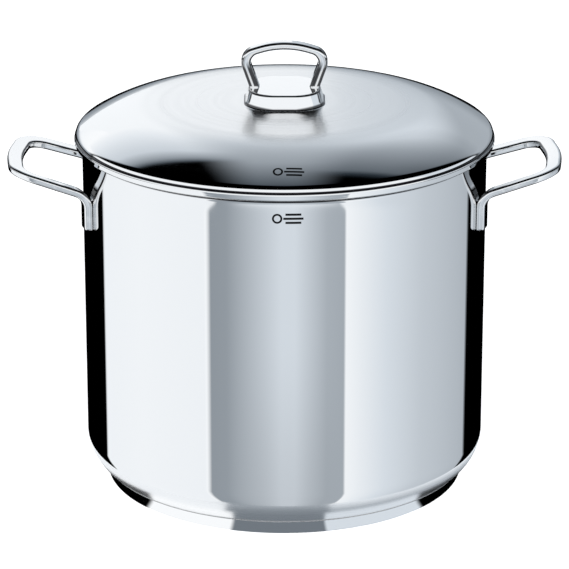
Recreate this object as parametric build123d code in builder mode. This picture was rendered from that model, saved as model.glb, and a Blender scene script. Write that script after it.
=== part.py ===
from build123d import *
from math import acos, cos, degrees, radians, sin, sqrt, tan
import os

# Water bath canner: a deep steel pot on a capsule base, a domed lid with a bow
# handle, and a wire jar rack inside it that lifts by two folding handles.
# Millimetres, +Z up, +X through the side handles. The origin is on the pot's
# axis, on the surface that the pot stands on.

os.makedirs("parts", exist_ok=True)

# ---- Driving dimensions: pot ----
POT_R = 140.0           # outer radius of the wall
POT_WALL = 1.0          # sheet thickness
POT_CORNER_R = 27.5     # outer radius where the wall turns into the bottom
POT_BOTTOM_Z = 5.5      # underside of the vessel, above the base core
NECK_Z = 241.4          # where the straight wall ends
LIP_UNDER_Z = 243.9     # underside of the pouring rim
LIP_R = 145.2           # outer radius of the pouring rim
LIP_TOP_Z = 250.0       # top of the pouring rim
LIP_TOP_R = 142.4       # radius of its crest
LIP_EDGE_R = 0.6        # rounding of its lower edge

# ---- Driving dimensions: capsule base ----
CAP_T = 0.8             # steel capsule sheet
CAP_FOOT_R = 125.2      # radius at the foot
CAP_TOP_R = 128.4       # radius at the seam
CAP_TOP_Z = 10.0        # height of the seam
CAP_EDGE_R = 2.2        # rounding of the lower edge

# ---- Driving dimensions: side handles ----
BAR_T = 5.4             # thickness of the handle bar
BAR_W = 10.6            # width of the handle bar
BAR_EDGE_R = 1.9        # rounding of its edges
FOOT_Z0 = 192.4         # lower end of the welded foot
BEND_Z = 208.6          # where the foot starts to turn outward
BEND_R = 11.0           # centre line radius of that turn
ARM_RISE = 18.0         # slope of the arms, in degrees
GRIP_RISE = 13.0        # slope at the grip, in degrees
ARM_END_R = 171.0       # where the arms start to level out
GRIP_REACH = 192.8      # outermost point of the grip
FOOT_Y = 46.8           # distance of the feet from the middle plane
GRIP_Y = 41.5           # the same at the outer end of the arms
GRIP_CROWN = 5.0        # how far the corners of the grip stand back from its middle
GRIP_BOW_R = 130.0      # radius of its gently bowed middle
GRIP_CORNER_R = 18.0    # centre line radius of its corners, seen from above
ROOT_OVERRUN = 30.0     # how far the loop's outline is drawn on into the wall
BAND_SPAN = 60.0        # angle about the pot's axis that holds one handle
BAND_END_R = 204.0      # the rising surface is drawn out to here
HANDLE_BOX_H = 70.0     # height that holds the whole handle

# ---- Driving dimensions: lid ----
LID_T = 0.9             # sheet thickness
LID_APEX_Z = 271.3      # top of the dome
CROWN_R = 2450.0        # radius of the nearly flat middle
CROWN_EDGE_R = 78.0     # where it ends
BEND_DOME_R = 227.0     # radius of the arc that leads over to the shoulder
BEND_DOME_EDGE_R = 98.0   # where the shoulder begins
SHOULDER_R = 106.0      # radius of the shoulder
DOME_EDGE_R = 141.0     # where the shoulder meets the hem
HEM_R = 144.6           # outer radius of the rolled hem
HEM_UNDER_Z = 250.3     # underside of the hem
HEM_T = 3.8             # height of the hem
HEM_GROOVE = 0.9        # depth of the groove inside the hem
HEM_EDGE_R = 0.7        # width of the hem's rounded lower edge
LID_GUIDE_R = 138.2     # outer radius of the locating ring below the lid
LID_GUIDE_T = 1.2       # its thickness
LID_GUIDE_Z = 246.8     # its lower edge

# ---- Driving dimensions: lid handle ----
PLINTH_TOP_Z = 281.2    # flat top of the plinth that carries the bow
PLINTH_TOP = (24.4, 27.2, 22.0, PLINTH_TOP_Z)   # half lengths, corner radius and height
PLINTH_WIDE = (27.6, 28.8, 18.0, 271.6)         # the same at its widest
PLINTH_FOOT = (27.0, 28.2, 17.5, 269.4)         # and at its foot, just below the dome
PLINTH_T = 1.2          # sheet thickness
PLINTH_RIM_R = 0.9      # rounding of its top edge
BOW_TOP_Z = 312.8       # top of the bow
BOW_FOOT_X = 24.3       # outer half width where the bow stands on the plinth
BOW_LEAN = 19.5         # outward lean of its legs, in degrees
BOW_CREST_FALL = 17.0   # slope of the crest towards its corners, in degrees
BOW_CORNER_R = 11.0     # outer corners
BOW_CREST_R = 60.0      # outer radius of the crest
BOW_LEG_T = 6.8         # thickness of the legs
BOW_CREST_T = 5.4       # thickness at the top
BOW_DEPTH = 10.4        # width of the bar
BOW_EDGE_R = 2.6        # rounding of its edges

# ---- Driving dimensions: jar rack ----
WIRE_R = 2.0            # all rack wire is 4 mm
RING_Z = 24.0           # centre of the ring wires
RING_RADII = {"outer": 124.0, "middle": 83.0, "inner": 42.0}
CROSS_SINK = 0.6        # how far welded wires sink into each other
SPOKE_COUNT = 8
SPOKE_OVERHANG = 2.5    # how far a spoke runs past the rings that it joins
RACK_FOOT_COUNT = 4
RACK_FOOT_GAP = 0.3     # between the feet and the floor of the pot
RACK_FOOT_SPAN = (92.0, 112.0)   # radii of the two legs of each foot
RACK_FOOT_BEND = 5.0    # centre line radius of its bends
EYE_Y = 31.0            # middle of each hinge eye
EYE_LEN = 6.0           # length along the pin
EYE_R = 4.0             # outer radius
PIN_CLEAR = 0.08        # radial play of the pins in the eyes
LOOP_LEG_Y = 22.0       # legs of the rack handles
LOOP_PIN_END = 37.0     # outer ends of their pins
LOOP_H = 112.0          # height of a rack handle above its pins
LOOP_BEND = 5.0         # bends from the pins into the legs
LOOP_CORNER = 14.0      # bends at the top
LOOP_LEAN = 8.0         # outward lean at rest, in degrees

# ---- Values that follow ----
inner_r = POT_R - POT_WALL
inner_corner_r = POT_CORNER_R - POT_WALL
floor_z = POT_BOTTOM_Z + POT_WALL
corner_x = POT_R - POT_CORNER_R
corner_z = POT_BOTTOM_Z + POT_CORNER_R


def arc_middle(center, radius, angle_a, angle_b):
    """Point halfway along an arc that runs between two angles in degrees."""
    middle = radians((angle_a + angle_b) / 2)
    return (center[0] + radius * cos(middle), center[1] + radius * sin(middle))


def arc_point(center, radius, angle):
    """Point on a circle at an angle in degrees."""
    return (center[0] + radius * cos(radians(angle)), center[1] + radius * sin(radians(angle)))


def dome_outline(drop, edge_r):
    """Top of the lid from the axis outward, moved inward by drop and ending at edge_r.

    Returns the first point, then the middle and the end of each of its three
    arcs, in the (r, z) plane.
    """
    arcs = [(CROWN_R, CROWN_EDGE_R), (BEND_DOME_R, BEND_DOME_EDGE_R), (SHOULDER_R, DOME_EDGE_R)]
    points = [(0, LID_APEX_Z - drop)]
    center = (0, LID_APEX_Z)
    last_radius = 0
    angle = 90
    for radius, end_r in arcs:
        center = arc_point(center, last_radius - radius, angle)
        if radius == SHOULDER_R:
            end_angle = degrees(acos((edge_r - center[0]) / (radius - drop)))
        else:
            end_angle = degrees(acos((end_r - center[0]) / radius))
        points.append(arc_middle(center, radius - drop, angle, end_angle))
        points.append(arc_point(center, radius - drop, end_angle))
        last_radius = radius
        angle = end_angle
    return points


def draw_dome(points):
    """The three arcs of a dome outline."""
    for first in (0, 2, 4):
        ThreePointArc(*points[first:first + 3])


def finish(part, label):
    """Name one finished piece and write it."""
    part.label = label
    export_step(part, f"parts/{label}.step")


# ---- Pot ----
# Outer shape of the vessel below the neck, used to seat what is welded to it.
with BuildPart() as vessel_shape:
    with BuildSketch(Plane.XZ):
        with BuildLine():
            Line((0, POT_BOTTOM_Z), (corner_x, POT_BOTTOM_Z))
            ThreePointArc(
                (corner_x, POT_BOTTOM_Z),
                arc_middle((corner_x, corner_z), POT_CORNER_R, -90, 0),
                (POT_R, corner_z),
            )
            Polyline((POT_R, corner_z), (POT_R, NECK_Z), (0, NECK_Z), (0, POT_BOTTOM_Z))
        make_face()
    revolve(axis=Axis.Z)

# One drawn sheet: bottom, wall and the thickened pouring rim.
neck_r = LIP_UNDER_Z - NECK_Z
lip_crest = LIP_R - LIP_TOP_R
with BuildPart() as pot_body:
    with BuildSketch(Plane.XZ):
        with BuildLine():
            Line((0, POT_BOTTOM_Z), (corner_x, POT_BOTTOM_Z))
            ThreePointArc(
                (corner_x, POT_BOTTOM_Z),
                arc_middle((corner_x, corner_z), POT_CORNER_R, -90, 0),
                (POT_R, corner_z),
            )
            Line((POT_R, corner_z), (POT_R, NECK_Z))
            ThreePointArc(
                (POT_R, NECK_Z),
                arc_middle((POT_R + neck_r, NECK_Z), neck_r, 90, 180),
                (POT_R + neck_r, LIP_UNDER_Z),
            )
            Line((POT_R + neck_r, LIP_UNDER_Z), (LIP_R - LIP_EDGE_R, LIP_UNDER_Z))
            ThreePointArc(
                (LIP_R - LIP_EDGE_R, LIP_UNDER_Z),
                arc_middle((LIP_R - LIP_EDGE_R, LIP_UNDER_Z + LIP_EDGE_R), LIP_EDGE_R, -90, 0),
                (LIP_R, LIP_UNDER_Z + LIP_EDGE_R),
            )
            Line((LIP_R, LIP_UNDER_Z + LIP_EDGE_R), (LIP_R, LIP_TOP_Z - lip_crest))
            ThreePointArc(
                (LIP_R, LIP_TOP_Z - lip_crest),
                arc_middle((LIP_TOP_R, LIP_TOP_Z - lip_crest), lip_crest, 0, 90),
                (LIP_TOP_R, LIP_TOP_Z),
            )
            ThreePointArc(
                (LIP_TOP_R, LIP_TOP_Z),
                arc_middle((LIP_TOP_R, LIP_TOP_Z - LIP_TOP_R + inner_r), LIP_TOP_R - inner_r, 90, 180),
                (inner_r, LIP_TOP_Z - LIP_TOP_R + inner_r),
            )
            Line((inner_r, LIP_TOP_Z - LIP_TOP_R + inner_r), (inner_r, corner_z))
            ThreePointArc(
                (inner_r, corner_z),
                arc_middle((corner_x, corner_z), inner_corner_r, -90, 0),
                (corner_x, floor_z),
            )
            Polyline((corner_x, floor_z), (0, floor_z), (0, POT_BOTTOM_Z))
        make_face()
    revolve(axis=Axis.Z)
finish(pot_body.part, "pot_body")

# Pressed steel capsule under the pot, and the aluminium disc that it encloses.
def capsule_outline(inset):
    """Corners of the capsule's section, moved inward by inset."""
    foot_r = CAP_FOOT_R - inset
    top_r = CAP_TOP_R - inset
    return [(0, inset), (foot_r, inset), (top_r, CAP_TOP_Z), (0, CAP_TOP_Z), (0, inset)]


with BuildPart() as base_cap:
    with BuildSketch(Plane.XZ) as cap_section:
        with BuildLine():
            Polyline(*capsule_outline(0))
        make_face()
        fillet(cap_section.vertices().group_by(Axis.Y)[0].sort_by(Axis.X)[-1], CAP_EDGE_R)
        with BuildLine():
            Polyline(*capsule_outline(CAP_T))
        make_face(mode=Mode.SUBTRACT)
    revolve(axis=Axis.Z)
    add(vessel_shape.part, mode=Mode.SUBTRACT)
finish(base_cap.part, "base_cap")

with BuildPart() as base_core:
    with BuildSketch(Plane.XZ):
        with BuildLine():
            Polyline(*capsule_outline(CAP_T))
        make_face()
    revolve(axis=Axis.Z)
    add(vessel_shape.part, mode=Mode.SUBTRACT)
finish(base_core.part, "base_core")

# ---- Side handles ----
# Each is one flat bar: two feet welded to the wall, a bend outward, and a
# loop. The bar's height follows its distance from the pot's axis, so the feet
# lie on the wall all over. Seen from above it is a loop of constant width.
bend_turn = 90 - ARM_RISE
bend_center = (POT_R + BAR_T / 2 + BEND_R, BEND_Z)
arm_start = arc_point(bend_center, BEND_R, 180 - bend_turn)
arm_end = (ARM_END_R, arm_start[1] + (ARM_END_R - arm_start[0]) * tan(radians(ARM_RISE)))
level_r = (BAND_END_R - ARM_END_R) / (sin(radians(ARM_RISE)) - sin(radians(GRIP_RISE)))
level_center = (
    arm_end[0] + level_r * sin(radians(ARM_RISE)),
    arm_end[1] - level_r * cos(radians(ARM_RISE)),
)


def band_side(side):
    """Points of one long side of the bar's section, from the foot outward.

    The side is +1 for the face against the wall, which becomes the top of the
    arms, and -1 for the face that looks outward and then down.
    """
    bend_r = BEND_R + side * BAR_T / 2
    crest_r = level_r + side * BAR_T / 2
    start = 90 + ARM_RISE
    end = 90 + GRIP_RISE
    return [
        (bend_center[0] - bend_r, FOOT_Z0),
        (bend_center[0] - bend_r, BEND_Z),
        arc_middle(bend_center, bend_r, 180, 180 - bend_turn),
        arc_point(bend_center, bend_r, 180 - bend_turn),
        arc_point(level_center, crest_r, start),
        arc_middle(level_center, crest_r, start, end),
        arc_point(level_center, crest_r, end),
    ]


def draw_band_side(points):
    """Lines and arcs along one long side of the bar."""
    Line(points[0], points[1])
    ThreePointArc(points[1], points[2], points[3])
    Line(points[3], points[4])
    ThreePointArc(points[4], points[5], points[6])


foot_x = sqrt(POT_R ** 2 - FOOT_Y ** 2)
grip_x = GRIP_REACH - BAR_W / 2
splay = (FOOT_Y - GRIP_Y) / (grip_x - foot_x)
tail_x = foot_x - ROOT_OVERRUN
tail_y = FOOT_Y + ROOT_OVERRUN * splay


def side_handle(name, turn):
    """One side handle, made at +X and turned about the pot's axis."""
    wall_side = band_side(1)
    free_side = band_side(-1)
    with BuildPart() as band:
        with BuildSketch(Plane.XZ):
            with BuildLine():
                draw_band_side(wall_side)
                draw_band_side(free_side)
                Line(wall_side[0], free_side[0])
                Line(wall_side[-1], free_side[-1])
            make_face()
        revolve(axis=Axis.Z, revolution_arc=BAND_SPAN)
    sheet = band.part.rotate(Axis.Z, -BAND_SPAN / 2)

    with BuildPart() as handle:
        with BuildSketch(Plane.XY.offset(FOOT_Z0 - BAR_T)):
            with BuildLine():
                center_line = FilletPolyline(
                    (tail_x, tail_y),
                    (grip_x - GRIP_CROWN, GRIP_Y),
                    (grip_x, 0),
                    (grip_x - GRIP_CROWN, -GRIP_Y),
                    (tail_x, -tail_y),
                    radius=[GRIP_CORNER_R, GRIP_BOW_R, GRIP_CORNER_R],
                )
                offset(center_line, amount=BAR_W / 2, side=Side.BOTH)
            make_face()
        extrude(amount=HANDLE_BOX_H)
        add(sheet, mode=Mode.INTERSECT)
        fillet(handle.edges(), BAR_EDGE_R)
    finish(handle.part.rotate(Axis.Z, turn), name)


side_handle("side_handle_right", 0)
side_handle("side_handle_left", 180)

# ---- Lid ----
# One pressed sheet with a rolled hem. A low ring below it drops into the mouth
# of the pot and keeps the lid centred.
top = dome_outline(0, DOME_EDGE_R)
under = dome_outline(LID_T, LID_GUIDE_R - LID_GUIDE_T)
hem_top_z = HEM_UNDER_Z + HEM_T
hem_middle_z = HEM_UNDER_Z + HEM_T / 2
groove = (DOME_EDGE_R + HEM_GROOVE / 2, hem_top_z - HEM_GROOVE)
with BuildPart() as lid_shell:
    with BuildSketch(Plane.XZ):
        with BuildLine():
            draw_dome(top)
            Line(top[-1], groove)
            ThreePointArc(
                groove,
                ((groove[0] + HEM_R) / 2, hem_top_z),
                (HEM_R, hem_middle_z),
            )
            ThreePointArc(
                (HEM_R, hem_middle_z),
                (HEM_R - HEM_EDGE_R / 3, (HEM_UNDER_Z + hem_middle_z) / 2),
                (HEM_R - HEM_EDGE_R, HEM_UNDER_Z),
            )
            Polyline(
                (HEM_R - HEM_EDGE_R, HEM_UNDER_Z),
                (LID_GUIDE_R, HEM_UNDER_Z),
                (LID_GUIDE_R, LID_GUIDE_Z),
                (LID_GUIDE_R - LID_GUIDE_T, LID_GUIDE_Z),
                under[-1],
            )
            draw_dome(under)
            Line(under[0], top[0])
        make_face()
    revolve(axis=Axis.Z)
finish(lid_shell.part, "lid_shell")

# Solid up to the lid's outer surface, used to seat the plinth on the dome.
with BuildPart() as dome_shape:
    with BuildSketch(Plane.XZ):
        with BuildLine():
            ThreePointArc(*top[0:3])
            Polyline(top[2], (top[2][0], HEM_UNDER_Z), (0, HEM_UNDER_Z), top[0])
        make_face()
    revolve(axis=Axis.Z)


def plinth_sections(outlines, inset):
    """Rounded rectangles at their own heights, moved inward by inset."""
    sections = []
    for half_x, half_y, corner_r, height in outlines:
        with BuildSketch(Plane.XY.offset(height)) as section:
            RectangleRounded(2 * (half_x - inset), 2 * (half_y - inset), corner_r - inset)
        sections.append(section.sketch)
    return sections


# Pressed plinth, hollow underneath, welded to the middle of the dome.
ceiling = (*PLINTH_TOP[:3], PLINTH_TOP_Z - PLINTH_T)
with BuildPart() as lid_handle_plinth:
    loft(sections=plinth_sections([PLINTH_WIDE, PLINTH_TOP], 0))
    fillet(lid_handle_plinth.edges().group_by(Axis.Z)[-1], PLINTH_RIM_R)
    loft(sections=plinth_sections([PLINTH_FOOT, PLINTH_WIDE], 0))
    loft(sections=plinth_sections([PLINTH_WIDE, ceiling], PLINTH_T), mode=Mode.SUBTRACT)
    loft(sections=plinth_sections([PLINTH_FOOT, PLINTH_WIDE], PLINTH_T), mode=Mode.SUBTRACT)
    add(dome_shape.part, mode=Mode.SUBTRACT)
finish(lid_handle_plinth.part, "lid_handle_plinth")


def bow_outline(foot_x, crest_corner_z, corner_r, crest_r):
    """One side of the bow: up a leg, over the crest and down the other leg."""
    lean = tan(radians(BOW_LEAN))
    fall = tan(radians(BOW_CREST_FALL))
    corner_x = (foot_x + (crest_corner_z - PLINTH_TOP_Z) * lean) / (1 + fall * lean)
    corner_z = crest_corner_z - corner_x * fall
    return FilletPolyline(
        (foot_x, PLINTH_TOP_Z),
        (corner_x, corner_z),
        (0, crest_corner_z),
        (-corner_x, corner_z),
        (-foot_x, PLINTH_TOP_Z),
        radius=[corner_r, crest_r, corner_r],
    )


# Cast bow: two leaning legs that thin into an arched grip.
crest_scale = 1 / cos(radians(BOW_CREST_FALL))
crest_corner = BOW_TOP_Z + BOW_CREST_R * (crest_scale - 1)
leg_width = BOW_LEG_T / cos(radians(BOW_LEAN))
with BuildPart() as lid_handle_bow:
    with BuildSketch(Plane.XZ):
        with BuildLine():
            outer_bow = bow_outline(BOW_FOOT_X, crest_corner, BOW_CORNER_R, BOW_CREST_R)
            inner_bow = bow_outline(
                BOW_FOOT_X - leg_width,
                crest_corner - BOW_CREST_T * crest_scale,
                BOW_CORNER_R - BOW_CREST_T,
                BOW_CREST_R - BOW_CREST_T,
            )
            Line(outer_bow @ 0, inner_bow @ 0)
            Line(outer_bow @ 1, inner_bow @ 1)
        make_face()
    extrude(amount=BOW_DEPTH / 2, both=True)
    side_faces = lid_handle_bow.faces().filter_by(Axis.Y)
    long_edges = side_faces.edges().filter_by(lambda edge: edge.center().Z > PLINTH_TOP_Z + BOW_EDGE_R)
    fillet(long_edges, BOW_EDGE_R)
finish(lid_handle_bow.part, "lid_handle_bow")

# ---- Jar rack ----
# Three wire rings on spokes, four feet, and four eyes for the two handles.
spoke_z = RING_Z - 2 * WIRE_R + CROSS_SINK
with BuildPart() as all_rings:
    with BuildSketch(Plane.XZ):
        with Locations(*[(radius, RING_Z) for radius in RING_RADII.values()]):
            Circle(WIRE_R)
    revolve(axis=Axis.Z)
for ring_name, ring_radius in RING_RADII.items():
    with BuildPart() as ring:
        with BuildSketch(Plane.XZ):
            with Locations((ring_radius, RING_Z)):
                Circle(WIRE_R)
        revolve(axis=Axis.Z)
    finish(ring.part, f"rack_{ring_name}_ring")

spoke_start = RING_RADII["inner"] - SPOKE_OVERHANG
spoke_end = RING_RADII["outer"] + SPOKE_OVERHANG
with BuildPart() as rack_spokes:
    with PolarLocations(0, SPOKE_COUNT, start_angle=180 / SPOKE_COUNT):
        with Locations(Location((spoke_start, 0, spoke_z), (0, 90, 0))):
            Cylinder(WIRE_R, spoke_end - spoke_start, align=(Align.CENTER, Align.CENTER, Align.MIN))
    add(all_rings.part, mode=Mode.SUBTRACT)
finish(rack_spokes.part, "rack_spokes")

# Each foot is a U of wire below one spoke in two.
foot_bottom_z = floor_z + RACK_FOOT_GAP + WIRE_R
with BuildPart() as one_foot:
    with BuildLine(Plane.XZ):
        foot_path = FilletPolyline(
            (RACK_FOOT_SPAN[0], spoke_z),
            (RACK_FOOT_SPAN[0], foot_bottom_z),
            (RACK_FOOT_SPAN[1], foot_bottom_z),
            (RACK_FOOT_SPAN[1], spoke_z),
            radius=RACK_FOOT_BEND,
        )
    with BuildSketch(Plane(foot_path @ 0, z_dir=foot_path % 0)):
        Circle(WIRE_R)
    sweep()
with BuildPart() as rack_feet:
    with PolarLocations(0, RACK_FOOT_COUNT, start_angle=180 / SPOKE_COUNT):
        add(one_foot.part)
    add(rack_spokes.part, mode=Mode.SUBTRACT)
    for sliver in rack_feet.solids().sort_by(SortBy.VOLUME)[:-RACK_FOOT_COUNT]:
        add(sliver, mode=Mode.SUBTRACT)
finish(rack_feet.part, "rack_feet")

# Rolled eyes, each bored for a handle's pin and seated on the outer ring.
hinge_x = sqrt(RING_RADII["outer"] ** 2 - EYE_Y ** 2)
hinge_z = RING_Z + WIRE_R + EYE_R - CROSS_SINK
with BuildPart() as rack_hinge_eyes:
    for side_x in (-1, 1):
        for side_y in (-1, 1):
            with Locations(Location((side_x * hinge_x, side_y * EYE_Y, hinge_z), (90, 0, 0))):
                Cylinder(EYE_R, EYE_LEN)
                Cylinder(WIRE_R + PIN_CLEAR, EYE_LEN, mode=Mode.SUBTRACT)
    add(all_rings.part, mode=Mode.SUBTRACT)
finish(rack_hinge_eyes.part, "rack_hinge_eyes")


def rack_handle(name, side):
    """One wire handle: two pins along Y and a tall loop that leans outward."""
    swing = Plane(origin=(side * hinge_x, 0, hinge_z), x_dir=(0, side, 0), z_dir=(side, 0, 0))
    swing = swing.rotated((0, side * LOOP_LEAN, 0))
    with BuildPart() as loop:
        with BuildLine(swing):
            path = FilletPolyline(
                (-LOOP_PIN_END, 0),
                (-LOOP_LEG_Y, 0),
                (-LOOP_LEG_Y, LOOP_H),
                (LOOP_LEG_Y, LOOP_H),
                (LOOP_LEG_Y, 0),
                (LOOP_PIN_END, 0),
                radius=[LOOP_BEND, LOOP_CORNER, LOOP_CORNER, LOOP_BEND],
            )
        with BuildSketch(Plane(path @ 0, z_dir=path % 0)):
            Circle(WIRE_R)
        sweep()
    finish(loop.part, name)


rack_handle("rack_handle_right", 1)
rack_handle("rack_handle_left", -1)
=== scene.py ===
"""Looks of the water bath canner: polished steel in a white photo studio.

Metres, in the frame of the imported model, except where a comment says millimetres. The
studio is a procedural world: its ceiling, panel and upright bands are what the steel
mirrors. Angles are in degrees; an azimuth is 0 towards the camera and positive to the
right, a bearing is an azimuth without its sign, and an elevation is 0 at the horizon.
A level runs from 0 to 1 and is what polished steel shows on screen in that light.
"""

from math import acos, cos, degrees, pi, radians, sin

import bmesh
import bpy
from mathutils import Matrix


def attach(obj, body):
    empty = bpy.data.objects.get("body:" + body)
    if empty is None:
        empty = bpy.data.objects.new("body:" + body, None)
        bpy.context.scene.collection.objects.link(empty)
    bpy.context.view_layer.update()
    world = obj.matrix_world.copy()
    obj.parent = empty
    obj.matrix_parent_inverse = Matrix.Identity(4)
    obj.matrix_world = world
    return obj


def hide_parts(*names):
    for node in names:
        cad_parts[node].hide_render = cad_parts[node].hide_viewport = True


# ---- Camera ----
CAMERA_PLACE = (0.0, -2.120, 0.8756)
CAMERA_DROP = 19.23         # how far it looks below the horizon, in degrees
CAMERA_LENS = 201.9         # millimetres
CAMERA_SENSOR = 36.0        # millimetres

# ---- Light levels ----
STEEL_REFLECTANCE = 0.86
COOL = 0.030                # how much bluer than neutral the middle levels are
DARK = 0.0
SOFT_EDGE = 1.5             # half width of the edges above the bands and above the panel

# ---- Upright bands that the wall mirrors: azimuth and level ----
WALL_BANDS = [
    (-180, 0.0), (-126.2, 0.0), (-125.0, 0.945), (-90, 0.955), (-46, 0.945), (-44.2, 0.98),
    (-42.8, 0.585), (-33, 0.60), (-2, 0.847), (6, 0.847), (24, 0.685), (33.8, 0.663),
    (35.0, 0.955), (60, 0.86), (85, 0.78), (127.2, 0.70), (128.4, 0.0), (180, 0.0),
]
BAND_TOP = (4.0, -3.0)              # elevation where the bands end, in front and at the sides
BAND_TOP_TURN = (60.0, 86.0)        # bearings between which it changes
BAND_BOTTOM = (-62.0, -58.0)        # below them the studio is dark
MIDDLE_BAND = (-22.0, 26.0, 14.0)   # azimuths of the grey middle band, and its soft edge
FADE = (-20.0, -23.5, 0.17)         # elevations between which it darkens, and by how much
TOP_LINE = (-17.82, -17.60, 0.03)   # elevations of the pale line along its top, and its soft edge
TOP_LINE_LEVEL = 0.92
CORNER_START = (-17.91, -17.72)     # elevations over which its upper corners turn inward
CORNER_END = (-17.6, -17.2)
CORNER_SIDES = (55.0, 80.0)         # bearings past which nothing turns inward
CORNER_PINCH = 0.12
FOOT_TURN = (-44.0, -62.0)          # elevations over which the feet of the bands turn inward
FOOT_PINCH = 0.30

# ---- White panel above the horizon, all around the front ----
PANEL_FOOT = (3.5, 6.0)             # elevations of its soft lower edge
PANEL_TOP = 55.0                    # elevation of its top in front
PANEL_FALL = 0.0023                 # how fast its top falls with the bearing squared
PANEL_SIDES = (124.5, 127.5)        # bearings of its soft ends
PANEL_LEVELS = (0.96, 0.86)         # left and right
PANEL_CHANGE = (80.0, 84.0)         # azimuths between which they change

# ---- Ceiling behind the zenith, that the lid mirrors ----
# Strips from left to right, each with y over z, and level.
CEILING = [
    [
        (-0.5, 0.0), (0.66, 0.0), (0.70, 0.33), (0.78, 0.58),
        (1.0, 0.81), (1.6, 0.91), (2.2, 0.98), (6.0, 0.93),
    ],
    [
        (-0.1, 0.0), (0.1, 0.25), (0.25, 0.40), (0.65, 0.62),
        (1.6, 0.77), (2.2, 0.81), (3.6, 0.94), (6.0, 0.88),
    ],
    [
        (0.33, 0.0), (0.40, 0.20), (0.46, 0.40), (1.0, 0.62),
        (1.5, 0.80), (2.0, 0.85), (3.0, 0.79), (6.0, 0.78),
    ],
    [(0.40, 0.0), (0.60, 0.24), (0.80, 0.42), (1.5, 0.62), (2.0, 0.67), (6.0, 0.68)],
]
CEILING_EDGES = [(-0.30, -0.08), (0.02, 0.24), (0.35, 0.90)]    # where strips meet, in x over z
CEILING_SPAN = (-0.5, 6.0)          # range of y over z that the tables cover
CEILING_LOWEST = 0.02               # keeps x and y over z finite
CEILING_SIDES = (126.0, 134.0)      # bearings where the ceiling starts
REAR_STRIP_LEVEL = 0.58             # grey strip below the ceiling
REAR_STRIP_TOP = (0.0, 11.0)
REAR_STRIP_FOOT = (-6.0, -3.0)
REAR_STRIP_SIDES = (124.0, 132.0)

# ---- Floor, sweep and cards ----
FLOOR_RADIUS = 5.0
FLOOR_WHITE = 0.80
FLOOR_GLOW = 0.93                   # the floor also gives light, so shadows stay faint
SWEEP_HEIGHT = 6.0
SWEEP_WHITE = (0.99, 0.99, 0.99, 1)
ROUND_STEPS = 64
NEAR_FLOOR_RADIUS = 0.160
NEAR_FLOOR_LIFT = 0.0002
NEAR_SPLIT = (0.1375, 0.1385)       # radii where its inner ring meets the outer one
OUTER_EDGES = [(-20.5, -18.5), (14.0, 16.0)]        # azimuths where the three fields of a ring meet
OUTER_LEFT = 0.95                   # level of its left field
OUTER_OTHERS = [(0.142, 0.160, 0.50, 0.61), (0.140, 0.158, 0.64, 0.90)]     # two radii, the levels there
INNER_EDGES = [(-18.0, -16.0), (12.5, 14.0)]
INNER_LEVELS = (0.98, 0.47, 0.86)
INNER_DARK = (48.0, 51.0)           # bearings where the inner ring turns dark
CARD_SIDES = (-0.50, 0.05)
CARD_HEIGHTS = (0.35, 0.75)
CARD_DISTANCE = 0.94
CARD_LEVEL = 0.96


def linear(level):
    """Scene light that polished steel shows at a display level."""
    light = level / 12.92 if level <= 0.04045 else ((level + 0.055) / 1.055) ** 2.4
    return light / STEEL_REFLECTANCE


def grey(level):
    """Colour of a light at a display level: cool in the middle, neutral at the ends."""
    shift = COOL * min(1.0, 6.0 * (1.03 - level), 5.0 * level)
    return (linear(max(level - shift, 0.0)), linear(level), linear(level + shift), 1)


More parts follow.
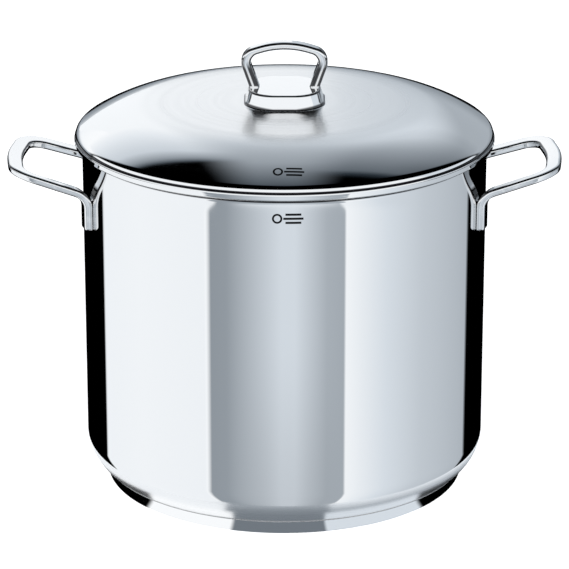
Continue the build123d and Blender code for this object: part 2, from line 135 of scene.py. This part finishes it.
class Nodes:
    """Short calls that add nodes to one node tree and return their outputs."""

    def __init__(self, tree):
        self.tree = tree

    def add(self, kind, **settings):
        node = self.tree.nodes.new(kind)
        for name, value in settings.items():
            setattr(node, name, value)
        return node

    def put(self, value, socket):
        """Link an output, or set a plain value."""
        if isinstance(value, bpy.types.NodeSocket):
            self.tree.links.new(value, socket)
        else:
            socket.default_value = value

    def math(self, operation, *values):
        node = self.add("ShaderNodeMath", operation=operation)
        for socket, value in zip(node.inputs, values):
            self.put(value, socket)
        return node.outputs[0]

    def product(self, first, *others):
        for other in others:
            first = self.math("MULTIPLY", first, other)
        return first

    def total(self, first, *others):
        for other in others:
            first = self.math("ADD", first, other)
        return first

    def length(self, first, second):
        """Distance from the middle of two coordinates."""
        return self.math("SQRT", self.total(self.product(first, first), self.product(second, second)))

    def millimetres(self, value, middle):
        return self.math("MULTIPLY", self.math("SUBTRACT", value, middle), 1000.0)

    def smooth(self, value, low, high, start=0.0, end=1.0):
        """Smooth step from start at low to end at high."""
        node = self.add("ShaderNodeMapRange", interpolation_type="SMOOTHSTEP")
        names = ("Value", "From Min", "From Max", "To Min", "To Max")
        for name, setting in zip(names, (value, low, high, start, end)):
            self.put(setting, node.inputs[name])
        return node.outputs["Result"]

    def inside(self, value, low, high, edge):
        """1 between low and high, 0 outside, over a soft edge."""
        above = self.smooth(value, low - edge, low + edge)
        below = self.smooth(value, high - edge, high + edge, 1.0, 0.0)
        return self.product(above, below)

    def table(self, value, stops, low, high):
        """Light looked up from (position, level) stops between low and high."""
        share = self.math("DIVIDE", self.math("SUBTRACT", value, low), high - low)
        node = self.add("ShaderNodeValToRGB")
        self.put(share, node.inputs[0])
        elements = node.color_ramp.elements
        while len(elements) < len(stops):
            elements.new(1.0)
        for element, (position, level) in zip(elements, stops):
            element.position = (position - low) / (high - low)
            element.color = grey(level)
        return node.outputs["Color"]

    def mix(self, share, first, second):
        """First where share is 0, second where it is 1."""
        node = self.add("ShaderNodeMix", data_type="RGBA")
        self.put(share, node.inputs[0])
        for socket, value in zip((node.inputs[6], node.inputs[7]), (first, second)):
            self.put(value, socket)
        return node.outputs[2]

    def fields(self, value, edges, lights):
        """Lights side by side along a value, with soft edges between them."""
        light = lights[0]
        for edge, following in zip(edges, lights[1:]):
            light = self.mix(self.smooth(value, *edge), light, following)
        return light

    def split(self, vector):
        node = self.add("ShaderNodeSeparateXYZ")
        self.put(vector, node.inputs[0])
        return node.outputs

    def azimuth(self, x, y):
        return self.math("DEGREES", self.math("ARCTAN2", x, self.math("MULTIPLY", y, -1.0)))

    def noise(self, vector, scale, detail=2.0):
        """Smooth noise between 0 and 1."""
        node = self.add("ShaderNodeTexNoise", noise_dimensions="3D")
        self.put(vector, node.inputs["Vector"])
        self.put(scale, node.inputs["Scale"])
        self.put(detail, node.inputs["Detail"])
        return node.outputs["Fac"]

    def line_noise(self, position, scale, detail=2.0):
        """Noise that varies along one number only."""
        node = self.add("ShaderNodeTexNoise", noise_dimensions="1D")
        self.put(position, node.inputs["W"])
        self.put(scale, node.inputs["Scale"])
        self.put(detail, node.inputs["Detail"])
        return node.outputs["Fac"]


# ---- World ----
def ceiling(n, x, y, z, bearing, elevation):
    """Strips that run backward over the pot, a grey strip below them, and dark elsewhere."""
    height = n.math("MAXIMUM", z, CEILING_LOWEST)
    across = n.math("DIVIDE", x, height)
    along = n.math("MAXIMUM", n.math("DIVIDE", y, height), CEILING_SPAN[0])
    along = n.math("MINIMUM", along, CEILING_SPAN[1])
    light = n.fields(across, CEILING_EDGES, [n.table(along, stops, *CEILING_SPAN) for stops in CEILING])
    light = n.mix(n.smooth(bearing, *CEILING_SIDES), grey(DARK), light)
    light = n.mix(n.smooth(elevation, *REAR_STRIP_TOP), grey(REAR_STRIP_LEVEL), light)
    light = n.mix(n.smooth(elevation, *REAR_STRIP_FOOT), grey(DARK), light)
    return n.mix(n.smooth(bearing, *REAR_STRIP_SIDES), grey(DARK), light)


def white_panel(n, azimuth, bearing, elevation):
    """How much of the white panel shows in a direction, and its light."""
    top = n.math("SUBTRACT", PANEL_TOP, n.product(bearing, bearing, PANEL_FALL))
    share = n.product(
        n.smooth(elevation, *PANEL_FOOT),
        n.smooth(n.math("SUBTRACT", elevation, top), -SOFT_EDGE, SOFT_EDGE, 1.0, 0.0),
        n.smooth(bearing, *PANEL_SIDES, 1.0, 0.0),
    )
    left, right = PANEL_LEVELS
    return share, n.mix(n.smooth(azimuth, *PANEL_CHANGE), grey(left), grey(right))


def upright_bands(n, azimuth, bearing, elevation):
    """Bands below the horizon; the middle one has rounded corners and darkens downward."""
    corner = n.product(n.smooth(elevation, *CORNER_START), n.smooth(elevation, *CORNER_END, 1.0, 0.0))
    corner = n.product(corner, n.smooth(bearing, *CORNER_SIDES, 1.0, 0.0))
    foot = n.smooth(elevation, *FOOT_TURN)
    spread = n.total(1.0, n.product(corner, CORNER_PINCH), n.product(foot, FOOT_PINCH))
    light = n.table(n.product(azimuth, spread), WALL_BANDS, -180, 180)
    middle = n.inside(azimuth, *MIDDLE_BAND)
    start, end, depth = FADE
    light = n.mix(n.product(middle, n.smooth(elevation, start, end, 0.0, depth)), light, grey(DARK))
    return n.mix(n.product(n.inside(elevation, *TOP_LINE), middle), light, grey(TOP_LINE_LEVEL))


def make_world():
    world = bpy.data.worlds.new("studio")
    bpy.context.scene.world = world
    world.use_nodes = True
    world.node_tree.nodes.clear()
    n = Nodes(world.node_tree)
    x, y, z = n.split(n.add("ShaderNodeTexCoord").outputs["Generated"])
    azimuth = n.azimuth(x, y)
    bearing = n.math("ABSOLUTE", azimuth)
    elevation = n.math("DEGREES", n.math("ARCSINE", z))

    panel_share, panel_light = white_panel(n, azimuth, bearing, elevation)
    light = n.mix(panel_share, ceiling(n, x, y, z, bearing, elevation), panel_light)
    over_bands = n.math("SUBTRACT", elevation, n.smooth(bearing, *BAND_TOP_TURN, *BAND_TOP))
    bands = upright_bands(n, azimuth, bearing, elevation)
    light = n.mix(n.smooth(over_bands, -SOFT_EDGE, SOFT_EDGE), bands, light)
    light = n.mix(n.smooth(elevation, *BAND_BOTTOM), grey(DARK), light)

    background = n.add("ShaderNodeBackground")
    n.put(light, background.inputs["Color"])
    output = n.add("ShaderNodeOutputWorld")
    n.put(background.outputs[0], output.inputs["Surface"])


# ---- Floor, sweep and cards ----
def stage_object(name, shape, material):
    """A studio object that isn't part of the pot and stops no light."""
    mesh = bpy.data.meshes.new(name)
    shape.to_mesh(mesh)
    shape.free()
    mesh.materials.append(material)
    result = bpy.data.objects.new(name, mesh)
    bpy.context.scene.collection.objects.link(result)
    result.visible_shadow = False
    return result


def glow(name, base, strength, colour=(1, 1, 1, 1)):
    """A matt material that also gives light, with its surface shader and its nodes."""
    material = bpy.data.materials.new(name)
    material.use_nodes = True
    surface = material.node_tree.nodes["Principled BSDF"]
    surface.inputs["Base Color"].default_value = (base, base, base, 1)
    surface.inputs["Roughness"].default_value = 1.0
    surface.inputs["Specular IOR Level"].default_value = 0.0
    surface.inputs["Emission Color"].default_value = colour
    surface.inputs["Emission Strength"].default_value = strength
    return material, surface, Nodes(material.node_tree)


def make_floor():
    """White floor and the pale sweep around it, left out of the steel's reflections."""
    shape = bmesh.new()
    bmesh.ops.create_circle(shape, cap_ends=True, radius=FLOOR_RADIUS, segments=ROUND_STEPS)
    white, _, _ = glow("studio_white", FLOOR_WHITE, FLOOR_GLOW)
    floor = stage_object("studio_floor", shape, white)
    floor.visible_glossy = False

    shape = bmesh.new()
    bmesh.ops.create_circle(shape, cap_ends=False, radius=FLOOR_RADIUS, segments=ROUND_STEPS)
    rising = bmesh.ops.extrude_edge_only(shape, edges=shape.edges[:])["geom"]
    top = [part for part in rising if isinstance(part, bmesh.types.BMVert)]
    bmesh.ops.translate(shape, verts=top, vec=(0, 0, SWEEP_HEIGHT))
    pale, _, _ = glow("studio_sweep_white", base=0.0, strength=1.0, colour=SWEEP_WHITE)
    sweep = stage_object("studio_sweep", shape, pale)
    sweep.visible_glossy = False
    sweep.visible_diffuse = False


def make_near_floor():
    """What the foot of the pot mirrors: the floor right beside it, seen only by the steel."""
    shape = bmesh.new()
    bmesh.ops.create_circle(shape, cap_ends=True, radius=NEAR_FLOOR_RADIUS, segments=ROUND_STEPS)
    material, surface, n = glow("studio_near_floor", base=0.0, strength=1.0)
    x, y, _ = n.split(n.add("ShaderNodeTexCoord").outputs["Object"])
    azimuth = n.azimuth(x, y)
    ring = n.length(x, y)
    # Outer ring, seen in the wall's bottom corner.
    lights = [grey(OUTER_LEFT)]
    for low, high, start, end in OUTER_OTHERS:
        lights.append(n.mix(n.smooth(ring, low, high), grey(start), grey(end)))
    outer = n.fields(azimuth, OUTER_EDGES, lights)
    # Inner ring, seen in the capsule base.
    inner = n.fields(azimuth, INNER_EDGES, [grey(level) for level in INNER_LEVELS])
    inner = n.mix(n.smooth(n.math("ABSOLUTE", azimuth), *INNER_DARK), inner, grey(DARK))
    n.put(n.mix(n.smooth(ring, *NEAR_SPLIT), inner, outer), surface.inputs["Emission Color"])
    near = stage_object("studio_near_floor", shape, material)
    near.location.z = NEAR_FLOOR_LIFT
    near.visible_camera = False
    near.visible_diffuse = False


def make_card():
    """A white card behind the pot, for the top of the left handle."""
    left, right = CARD_SIDES
    low, high = CARD_HEIGHTS
    shape = bmesh.new()
    corners = [(left, low), (right, low), (right, high), (left, high)]
    shape.faces.new([shape.verts.new((x, CARD_DISTANCE, z)) for x, z in corners])
    material, _, _ = glow("studio_card_white", base=0.0, strength=1.0, colour=grey(CARD_LEVEL))
    card = stage_object("studio_card", shape, material)
    card.visible_camera = False
    card.visible_diffuse = False


# ---- Camera ----
def make_camera():
    data = bpy.data.cameras.new("camera")
    data.lens = CAMERA_LENS
    data.sensor_width = CAMERA_SENSOR
    camera = bpy.data.objects.new("camera", data)
    camera.location = CAMERA_PLACE
    camera.rotation_euler = (radians(90.0 - CAMERA_DROP), 0.0, 0.0)
    bpy.context.scene.collection.objects.link(camera)
    bpy.context.scene.camera = camera


# ---- Materials ----
STEEL = (0.86, 0.86, 0.86, 1)
# Painted shade, for the turn below the lip and the underside of the hem.
PAINTED_SHADE_COLOUR = (0.05, 0.05, 0.055, 1)
# Colour of the etched marks, also used for the handles' painted dark reflections.
ETCHED_AND_PAINTED_DARK = (0.012, 0.012, 0.014, 1)
WIRE = (0.72, 0.72, 0.73, 1)
ALUMINIUM = (0.78, 0.79, 0.80, 1)

# Roughness: a range that noise moves through, or one value.
POT_MIRROR = (0.016, 0.026)
POT_INSIDE = (0.24, 0.34)
LID_BRUSHING = (0.23, 0.035)            # near the plinth and near the hem
LID_BRUSHING_SPAN = (0.085, 0.118)      # radii between which it changes
LID_FINE_LINES = (0.0, 0.03)            # added to the brushing
LID_BROAD_LINES = (-0.015, 0.02)
HEM_POLISH = 0.05
BASE_POLISH = 0.05
BASE_TURNING = (0.15, 0.30)             # added on the underside
HANDLE_POLISH = (0.035, 0.08)
WIRE_POLISH = (0.14, 0.26)
PLATE_GRAIN = (0.35, 0.50)
MARK_ON_WALL_ROUGHNESS = 0.4            # added where the mark is etched
MARK_ON_LID_ROUGHNESS = 0.3
NOISE_RANGE = (0.3, 0.7)                # most noise lies in it
WIDE_NOISE_RANGE = (0.2, 0.8)
PATCH_RANGE = (0.35, 0.75)

# Where surfaces change, as radii with a soft edge.
WALL_OUTSIDE = (0.1388, 0.1396)
NECK_START = (0.1400, 0.1402)
LIP_START = (0.1415, 0.1417)
DOME_END = (0.1404, 0.1414)
HEM_START = (0.1383, 0.1386)
UNDERSIDE_TOP = (0.0004, 0.0010)        # height of the underside of the base

# The etched mark, in millimetres from its middle.
MARK_RING = (-7.2, 2.1, 3.4)                            # middle, inner and outer radius
MARK_BARS = ((2.8, 5.2), (0.0, 6.6), (-2.8, 5.2))       # height and half length of each bar
MARK_BARS_MIDDLE = 3.4
MARK_BAR_HALF = 0.75
MARK_EDGE = 0.12
MARK_ON_WALL = (0.0024, 0.2303)                         # x and z of its middle
MARK_ON_LID = (0.0029, -0.130)                          # x and y of its middle
MARK_FRONT = (-0.11, -0.10)                             # it shows only in front of this y

# Painted shade on the steel: the turn below the lip, the top of the lip under the hem, and the hem's own
# edge.
NECK_HEIGHTS = (0.2403, 0.2434, 0.00015)
LIP_TOP = (0.2477, 0.2479)
HEM_UNDERSIDE = (0.2495, 0.2497)

# Painted dark reflections on the handles: rounded edges, sides, and streaks down the legs of the bow.
EDGE_FACING = (0.42, 0.88, 0.06)                        # upward part of the normal, and a soft edge
SIDE_FACING = (0.42, 0.78, 0.06)                        # sideways part of the normal
SIDE_END = (0.90, 0.95)                                 # past it, the surface faces fully sideways
SIDE_UPWARD = (0.20, 0.35)                              # sides that face upward more stay bright
BOW_START = (0.2815, 0.2825)                            # z where the bow leaves the plinth
BOW_LEG = (0.0216, 0.2832, 0.354)                       # x and z of a leg's foot, and its slope
BOW_STREAKS = ((-0.0032, -0.0004), (0.0010, 0.0026))    # across the leg
STREAK_EDGE = 0.0003
STREAK_FOOT = (0.2818, 0.2824)                          # z over which they start and end
STREAK_HEAD = (0.294, 0.300)
PAINTED_REFLECTION_DEPTH = 0.92


def metal(name, colour=STEEL):
    """A metal: its material, surface shader, nodes, and place on the part."""
    material = bpy.data.materials.new(name)
    material.use_nodes = True
    surface = material.node_tree.nodes["Principled BSDF"]
    surface.inputs["Base Color"].default_value = colour
    surface.inputs["Metallic"].default_value = 1.0
    n = Nodes(material.node_tree)
    return material, surface, n, n.add("ShaderNodeTexCoord").outputs["Object"]


def bump(n, surface, height, distance, strength=1.0):
    node = n.add("ShaderNodeBump")
    n.put(strength, node.inputs["Strength"])
    n.put(distance, node.inputs["Distance"])
    n.put(height, node.inputs["Height"])
    n.put(node.outputs["Normal"], surface.inputs["Normal"])


def etched_mark(n, across, up, y):
    """A plain ring with three bars beside it."""
    middle, inner, outer = MARK_RING
    shapes = n.inside(n.length(n.math("SUBTRACT", across, middle), up), inner, outer, MARK_EDGE)
    for place, half in MARK_BARS:
        tall = n.inside(up, place - MARK_BAR_HALF, place + MARK_BAR_HALF, MARK_EDGE)
        wide = n.inside(across, MARK_BARS_MIDDLE - half, MARK_BARS_MIDDLE + half, MARK_EDGE)
        shapes = n.math("MAXIMUM", shapes, n.product(tall, wide))
    return n.product(shapes, n.smooth(y, *MARK_FRONT, 1.0, 0.0))


def etched_and_painted_dark(n, surface, mask, painted_shade):
    """Steel: dark where the mask is, for etched marks and painted dark reflections, and painted shade in
    the recesses.
    """
    n.put(n.mix(mask, n.mix(painted_shade, STEEL, PAINTED_SHADE_COLOUR), ETCHED_AND_PAINTED_DARK), surface.inputs["Base Color"])


def pot_steel():
    """Mirror outside, satin inside, with a small etched mark under the rim."""
    material, surface, n, place = metal("pot_steel")
    x, y, z = n.split(place)
    ring = n.length(x, y)
    lines = n.line_noise(z, scale=2600.0)
    satin = n.smooth(ring, *WALL_OUTSIDE, 1.0, 0.0)
    mirror = n.smooth(n.noise(place, scale=14.0), *WIDE_NOISE_RANGE, *POT_MIRROR)
    mirror = n.product(mirror, n.math("SUBTRACT", 1.0, satin))
    inner = n.product(n.smooth(lines, *NOISE_RANGE, *POT_INSIDE), satin)
    mark_x, mark_z = MARK_ON_WALL
    mask = etched_mark(n, n.millimetres(x, mark_x), n.millimetres(z, mark_z), y)
    # Painted shade in the turn below the lip and on the lip's top under the hem.
    neck_shade = n.product(n.inside(z, *NECK_HEIGHTS), n.smooth(ring, *NECK_START))
    lip_shade = n.product(n.smooth(z, *LIP_TOP), n.smooth(ring, *LIP_START))
    etched_and_painted_dark(n, surface, mask, n.math("MAXIMUM", neck_shade, lip_shade))
    n.put(n.total(mirror, inner, n.product(mask, MARK_ON_WALL_ROUGHNESS)), surface.inputs["Roughness"])
    bump(n, surface, n.product(lines, satin), distance=0.00002, strength=0.5)
    return material


def lid_steel():
    """Fine concentric brushing on the dome, bright on the rolled hem."""
    material, surface, n, place = metal("lid_steel")
    x, y, z = n.split(place)
    ring = n.length(x, y)
    fine = n.line_noise(ring, scale=2400.0, detail=3.0)
    broad = n.line_noise(ring, scale=160.0)
    brushed = n.smooth(ring, *DOME_END, 1.0, 0.0)
    grain = n.total(
        n.smooth(ring, *LID_BRUSHING_SPAN, *LID_BRUSHING),
        n.smooth(fine, *NOISE_RANGE, *LID_FINE_LINES),
        n.smooth(broad, *NOISE_RANGE, *LID_BROAD_LINES),
    )
    dome = n.product(grain, brushed)
    hem = n.product(n.math("SUBTRACT", 1.0, brushed), HEM_POLISH)
    mark_x, mark_y = MARK_ON_LID
    mask = etched_mark(n, n.millimetres(x, mark_x), n.millimetres(y, mark_y), y)
    # Painted shade on the underside of the rolled hem.
    hem_shade = n.product(n.smooth(ring, *HEM_START), n.smooth(z, *HEM_UNDERSIDE, 1.0, 0.0))
    etched_and_painted_dark(n, surface, mask, hem_shade)
    n.put(n.total(dome, hem, n.product(mask, MARK_ON_LID_ROUGHNESS)), surface.inputs["Roughness"])
    bump(n, surface, n.product(fine, brushed), distance=0.000003, strength=0.6)
    return material


def base_steel():
    """Polished band, with turned rings on the underside."""
    material, surface, n, place = metal("base_steel")
    x, y, z = n.split(place)
    under = n.smooth(z, *UNDERSIDE_TOP, 1.0, 0.0)
    rings = n.line_noise(n.length(x, y), scale=1500.0)
    turning = n.product(n.smooth(rings, *NOISE_RANGE, *BASE_TURNING), under)
    n.put(n.total(BASE_POLISH, turning), surface.inputs["Roughness"])
    bump(n, surface, n.product(rings, under), distance=0.00004)
    return material


def handle_steel():
    """Cast and polished by hand: a slight wave, softer patches, and painted dark reflections along its
    edges.
    """
    material, surface, n, place = metal("handle_steel")
    x, _, z = n.split(place)
    patches = n.noise(place, scale=160.0)
    n.put(n.smooth(patches, *PATCH_RANGE, *HANDLE_POLISH), surface.inputs["Roughness"])
    bump(n, surface, n.noise(place, scale=55.0, detail=1.0), distance=0.0006, strength=0.35)

    # Painted dark reflections: edges and sides chosen by the way the surface faces, and streaks down the
    # bow's legs.
    sideways, _, upward = n.split(n.add("ShaderNodeNewGeometry").outputs["Normal"])
    sideways = n.math("ABSOLUTE", sideways)
    sides = n.math("MAXIMUM", n.inside(sideways, *SIDE_FACING), n.smooth(sideways, *SIDE_END))
    sides = n.product(sides, n.smooth(upward, *SIDE_UPWARD, 1.0, 0.0), n.smooth(z, *BOW_START))
    foot_x, foot_z, slope = BOW_LEG
    leg = n.total(foot_x, n.product(n.math("SUBTRACT", z, foot_z), slope))
    across = n.math("SUBTRACT", n.math("ABSOLUTE", x), leg)
    reflection_streaks = n.math("MAXIMUM", *[n.inside(across, *streak, STREAK_EDGE) for streak in BOW_STREAKS])
    reflection_streaks = n.product(reflection_streaks, n.smooth(z, *STREAK_FOOT), n.smooth(z, *STREAK_HEAD, 1.0, 0.0))
    painted_dark_reflection = n.math("MAXIMUM", n.math("MAXIMUM", sides, reflection_streaks), n.inside(upward, *EDGE_FACING))
    etched_and_painted_dark(n, surface, n.product(painted_dark_reflection, PAINTED_REFLECTION_DEPTH), 0.0)
    return material


def wire_steel():
    """Drawn wire, softly polished."""
    material, surface, n, place = metal("rack_wire_steel", WIRE)
    grain = n.noise(place, scale=900.0, detail=3.0)
    n.put(n.smooth(grain, *NOISE_RANGE, *WIRE_POLISH), surface.inputs["Roughness"])
    bump(n, surface, grain, distance=0.00002, strength=0.4)
    return material


def aluminium():
    """Rolled plate with a fine grain."""
    material, surface, n, place = metal("core_aluminium", ALUMINIUM)
    grain = n.noise(place, scale=1200.0, detail=3.0)
    n.put(n.smooth(grain, *NOISE_RANGE, *PLATE_GRAIN), surface.inputs["Roughness"])
    bump(n, surface, grain, distance=0.00003, strength=0.5)
    return material


# ---- Turned sheets: radius and height in millimetres ----
POT_R = 140.0
POT_WALL = 1.0
POT_BOTTOM_Z = 5.5
POT_CORNER = (112.5, 33.0, 27.5)        # centre and outer radius of the bottom corner
NECK = (143.0, 240.2, 3.0)              # centre and radius of the turn below the lip
LIP_LOWER = (143.8, 244.6, 1.4)         # its lower edge
LIP_UPPER = (142.4, 246.5, 2.8)         # its outer rounding
LIP_INNER = (142.4, 245.9, 3.4)         # its inner rounding
STRAIGHT_MARGIN = 0.6                   # keeps the wall's shading straight right up to its turns
DOME_APEX_Z = 271.3
DOME_ARCS = [(2450.0, 78.0), (227.0, 98.0), (106.0, 141.0)]     # radius, and where it ends
LID_SHEET = 0.9
GUIDE = (137.0, 138.2, 246.8, 249.8)    # radii of the locating ring, its lower and upper end
HEM_SHOULDER = (136.19, 245.70, 9.15)   # centre and radius of the turn above the rolled hem
HEM_FACE = (139.53, 248.22, 4.97)       # centre and radius of the hem's outer face
HEM_LEANS = (58.3, 37.0, 8.0)           # lean of the surface where those two arcs start and end
HEM_EDGE = [(144.1, 248.7), (142.6, 249.8)]
TURN_STEPS = 480
ARC_STEPS = 14
LONG_ARC_STEPS = 24


def arc(center_r, center_z, radius, start, end, steps=ARC_STEPS):
    """Points along an arc between two angles in degrees."""
    angles = [radians(start + (end - start) * step / steps) for step in range(steps + 1)]
    return [(center_r + radius * cos(angle), center_z + radius * sin(angle)) for angle in angles]


def pot_profile():
    """Outline of the drawn pot from the middle of its underside to the middle of its floor."""
    corner_r, corner_z, radius = POT_CORNER
    return [
        (0.0, POT_BOTTOM_Z),
        *arc(corner_r, corner_z, radius, -90, 0, LONG_ARC_STEPS),
        (POT_R, corner_z + STRAIGHT_MARGIN),
        (POT_R, NECK[1] - STRAIGHT_MARGIN),
        *arc(*NECK, 180, 90),
        *arc(*LIP_LOWER, -90, 0),
        *arc(*LIP_UPPER, 0, 90),
        *arc(*LIP_INNER, 90, 180),
        *arc(corner_r, corner_z, radius - POT_WALL, 0, -90, LONG_ARC_STEPS),
        (0.0, POT_BOTTOM_Z + POT_WALL),
    ]


def dome(drop, edge_r):
    """Top of the lid from the middle outward, moved inward by drop."""
    points = []
    center_r, center_z, last, angle = 0.0, DOME_APEX_Z, 0.0, 90.0
    for radius, end_r in DOME_ARCS:
        center_r += (last - radius) * cos(radians(angle))
        center_z += (last - radius) * sin(radians(angle))
        final = end_r == DOME_ARCS[-1][1]
        reach = (edge_r - center_r) / (radius - drop) if final else (end_r - center_r) / radius
        end_angle = degrees(acos(reach))
        points += arc(center_r, center_z, radius - drop, angle, end_angle, LONG_ARC_STEPS)[:-1]
        last, angle = radius, end_angle
    return points


def lid_profile():
    """Outline of the lid from its apex over the hem to the middle of its underside."""
    inner_r, outer_r, low, high = GUIDE
    start, turn, end = HEM_LEANS
    return [
        *dome(0.0, DOME_ARCS[-1][1]),
        *arc(*HEM_SHOULDER, start, turn)[:-1],
        *arc(*HEM_FACE, turn, end),
        *HEM_EDGE,
        (outer_r, high),
        (outer_r, low),
        (inner_r, low),
        *reversed(dome(LID_SHEET, inner_r)),
    ]


def turned(profile):
    """Rings of a profile turned about the upright axis."""
    turns = [2 * pi * step / TURN_STEPS for step in range(TURN_STEPS)]
    return [[(r * cos(turn), r * sin(turn), height) for turn in turns] for r, height in profile]


# ---- Pressed plinth under the bow: millimetres ----
PLINTH_FOOT = (27.9, 29.2, 20.0)    # half lengths and corner radius of its outline
PLINTH_TOP = (24.9, 26.9, 20.0)
PLINTH_Z = (271.0, 281.2)
FLARE = 1.3                         # radius of the flare at its foot
FLARE_INSET = 0.5743                # how far the top of the flare lies behind the outline
FACE_INSET = 0.8                    # how far the face lies behind the outline
RIM = 1.3                           # rounding of its upper edge
RIM_PROUD = 0.3                     # how far the rim stands out from the face
FACE_STEPS = 9
QUARTER_STEPS = 9                   # steps of 10 degrees in a quarter turn
CORNER_STEPS = 24


def rounded_rectangle(half_x, half_y, corner_r, height):
    """Points around a rectangle with rounded corners."""
    points = []
    for side_x, side_y, start in ((1, 1, 0), (-1, 1, 90), (-1, -1, 180), (1, -1, 270)):
        center_x = side_x * (half_x - corner_r)
        center_y = side_y * (half_y - corner_r)
        for step in range(CORNER_STEPS + 1):
            angle = radians(start + 90 * step / CORNER_STEPS)
            points.append((center_x + corner_r * cos(angle), center_y + corner_r * sin(angle), height))
    return points


def plinth_sections():
    """Inset and height of each section of the plinth, from its flared foot to its rim."""
    low, high = PLINTH_Z
    quarter = [radians(90.0 * step / QUARTER_STEPS) for step in range(QUARTER_STEPS + 1)]
    face_low = low + FLARE
    face_high = high - RIM
    sections = []
    for angle in quarter[:-1]:
        sections.append((FLARE_INSET - FLARE * (1 - sin(angle)), low + FLARE * (1 - cos(angle))))
    for step in range(FACE_STEPS):
        sections.append((FACE_INSET, face_low + (face_high - face_low) * (step + 1) / FACE_STEPS))
    for angle in quarter:
        sections.append((FACE_INSET - RIM_PROUD + RIM * (1 - cos(angle)), face_high + RIM * sin(angle)))
    return sections


def plinth_rings():
    """Outline of the plinth at each of its sections."""
    low, high = PLINTH_Z
    rings = []
    for inset, height in plinth_sections():
        share = (height - low) / (high - low)
        sizes = [foot + (top - foot) * share - inset for foot, top in zip(PLINTH_FOOT, PLINTH_TOP)]
        rings.append(rounded_rectangle(*sizes, height))
    return rings


# ---- Pieces ----
AXIS_R = 0.0001         # points nearer to the axis than this belong to one middle point
AXIS_MERGE = 0.0002
SHARP_ANGLE = 40.0


def add_piece(name, rings, capped, material, body, node):
    """A skin over rings of equal length, in millimetres, that stands for one CAD node."""
    count = len(rings[0])
    points = [(x / 1000, y / 1000, z / 1000) for ring in rings for x, y, z in ring]
    faces = []
    for row in range(len(rings) - 1):
        here = row * count
        above = here + count
        for step in range(count):
            after = (step + 1) % count
            faces.append((here + step, here + after, above + after, above + step))
    if capped:
        faces.append(tuple(range(len(points) - count, len(points))))
    mesh = bpy.data.meshes.new(name)
    mesh.from_pydata(points, [], faces)
    shape = bmesh.new()
    shape.from_mesh(mesh)
    on_axis = [vertex for vertex in shape.verts if vertex.co.xy.length < AXIS_R]
    bmesh.ops.remove_doubles(shape, verts=on_axis, dist=AXIS_MERGE)
    bmesh.ops.recalc_face_normals(shape, faces=shape.faces[:])
    shape.to_mesh(mesh)
    shape.free()
    mesh.shade_smooth()
    mesh.set_sharp_from_angle(angle=radians(SHARP_ANGLE))
    mesh.materials.append(material)
    piece = bpy.data.objects.new(name, mesh)
    bpy.context.scene.collection.objects.link(piece)
    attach(piece, body)
    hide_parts(node)


def dress(material, *node_names):
    """Give CAD nodes one material in all their slots."""
    for node_name in node_names:
        for material_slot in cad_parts[node_name].material_slots:
            material_slot.material = material


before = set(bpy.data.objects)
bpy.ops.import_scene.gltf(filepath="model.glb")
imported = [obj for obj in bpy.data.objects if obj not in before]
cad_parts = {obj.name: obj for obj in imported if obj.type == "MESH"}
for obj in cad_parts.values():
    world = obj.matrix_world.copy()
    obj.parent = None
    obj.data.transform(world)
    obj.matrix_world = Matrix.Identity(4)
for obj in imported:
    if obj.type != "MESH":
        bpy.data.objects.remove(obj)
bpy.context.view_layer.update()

bpy.context.scene.view_settings.view_transform = "Standard"
make_world()
make_floor()
make_near_floor()
make_card()
make_camera()

handle = handle_steel()
add_piece("pot_sheet", turned(pot_profile()), False, pot_steel(), "pot", "pot_body")
add_piece("lid_sheet", turned(lid_profile()), False, lid_steel(), "lid", "lid_shell")
add_piece("plinth_sheet", plinth_rings(), True, handle, "lid", "lid_handle_plinth")
dress(base_steel(), "base_cap")
dress(handle, "side_handle_right", "side_handle_left", "lid_handle_bow")
dress(aluminium(), "base_core")
dress(wire_steel(), *[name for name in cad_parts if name.startswith("rack_")])
